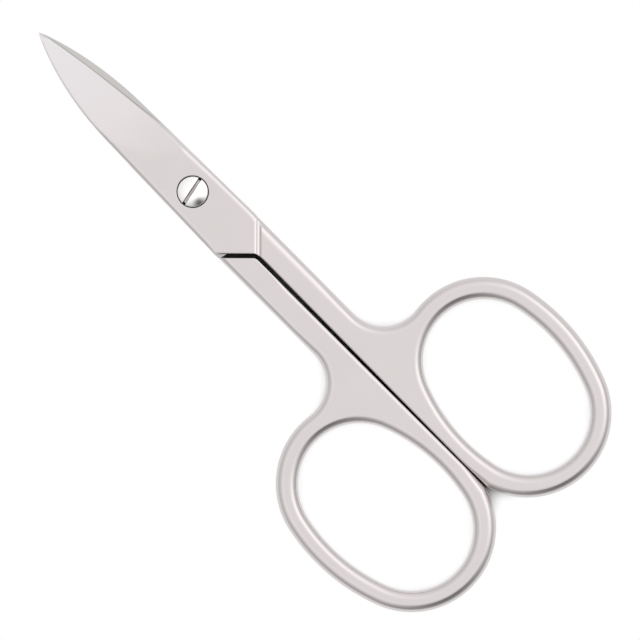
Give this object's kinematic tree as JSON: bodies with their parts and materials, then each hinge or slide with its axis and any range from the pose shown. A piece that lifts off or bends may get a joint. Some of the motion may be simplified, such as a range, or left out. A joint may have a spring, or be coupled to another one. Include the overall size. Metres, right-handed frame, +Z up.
{
  "type": "nail scissors",
  "caption": "Nail scissors with short tapering blades, crossing halves in a half-lap joint on a slotted pivot screw, and two oval finger rings that meet along the centre line.",
  "frame": {"origin": "on the pivot axis, at the underside of the lower half, which is the face the closed scissors lie on", "axes": "+X from the pivot towards the tips, +Z up along the pivot axis towards the screw head, +Y towards the finger ring of the lower half"},
  "size_m": [0.0898, 0.0446, 0.0037],
  "materials": {
    "satin_steel": "fine satin, matt glass-blasted and lightly brushed stainless steel",
    "polished_steel": "polished stainless steel screw"
  },
  "bodies": {
    "lower_half_and_screw": {"rear_half": "satin_steel", "pivot_screw": "polished_steel"},
    "upper_half": {"front_half": "satin_steel"}
  },
  "joints": [
    {"name": "pivot", "type": "hinge", "parent": "lower_half_and_screw", "child": "upper_half", "pos_m": [0, 0, 0], "axis": [0, 0, 1], "range_deg": [0, 125]}
  ]
}
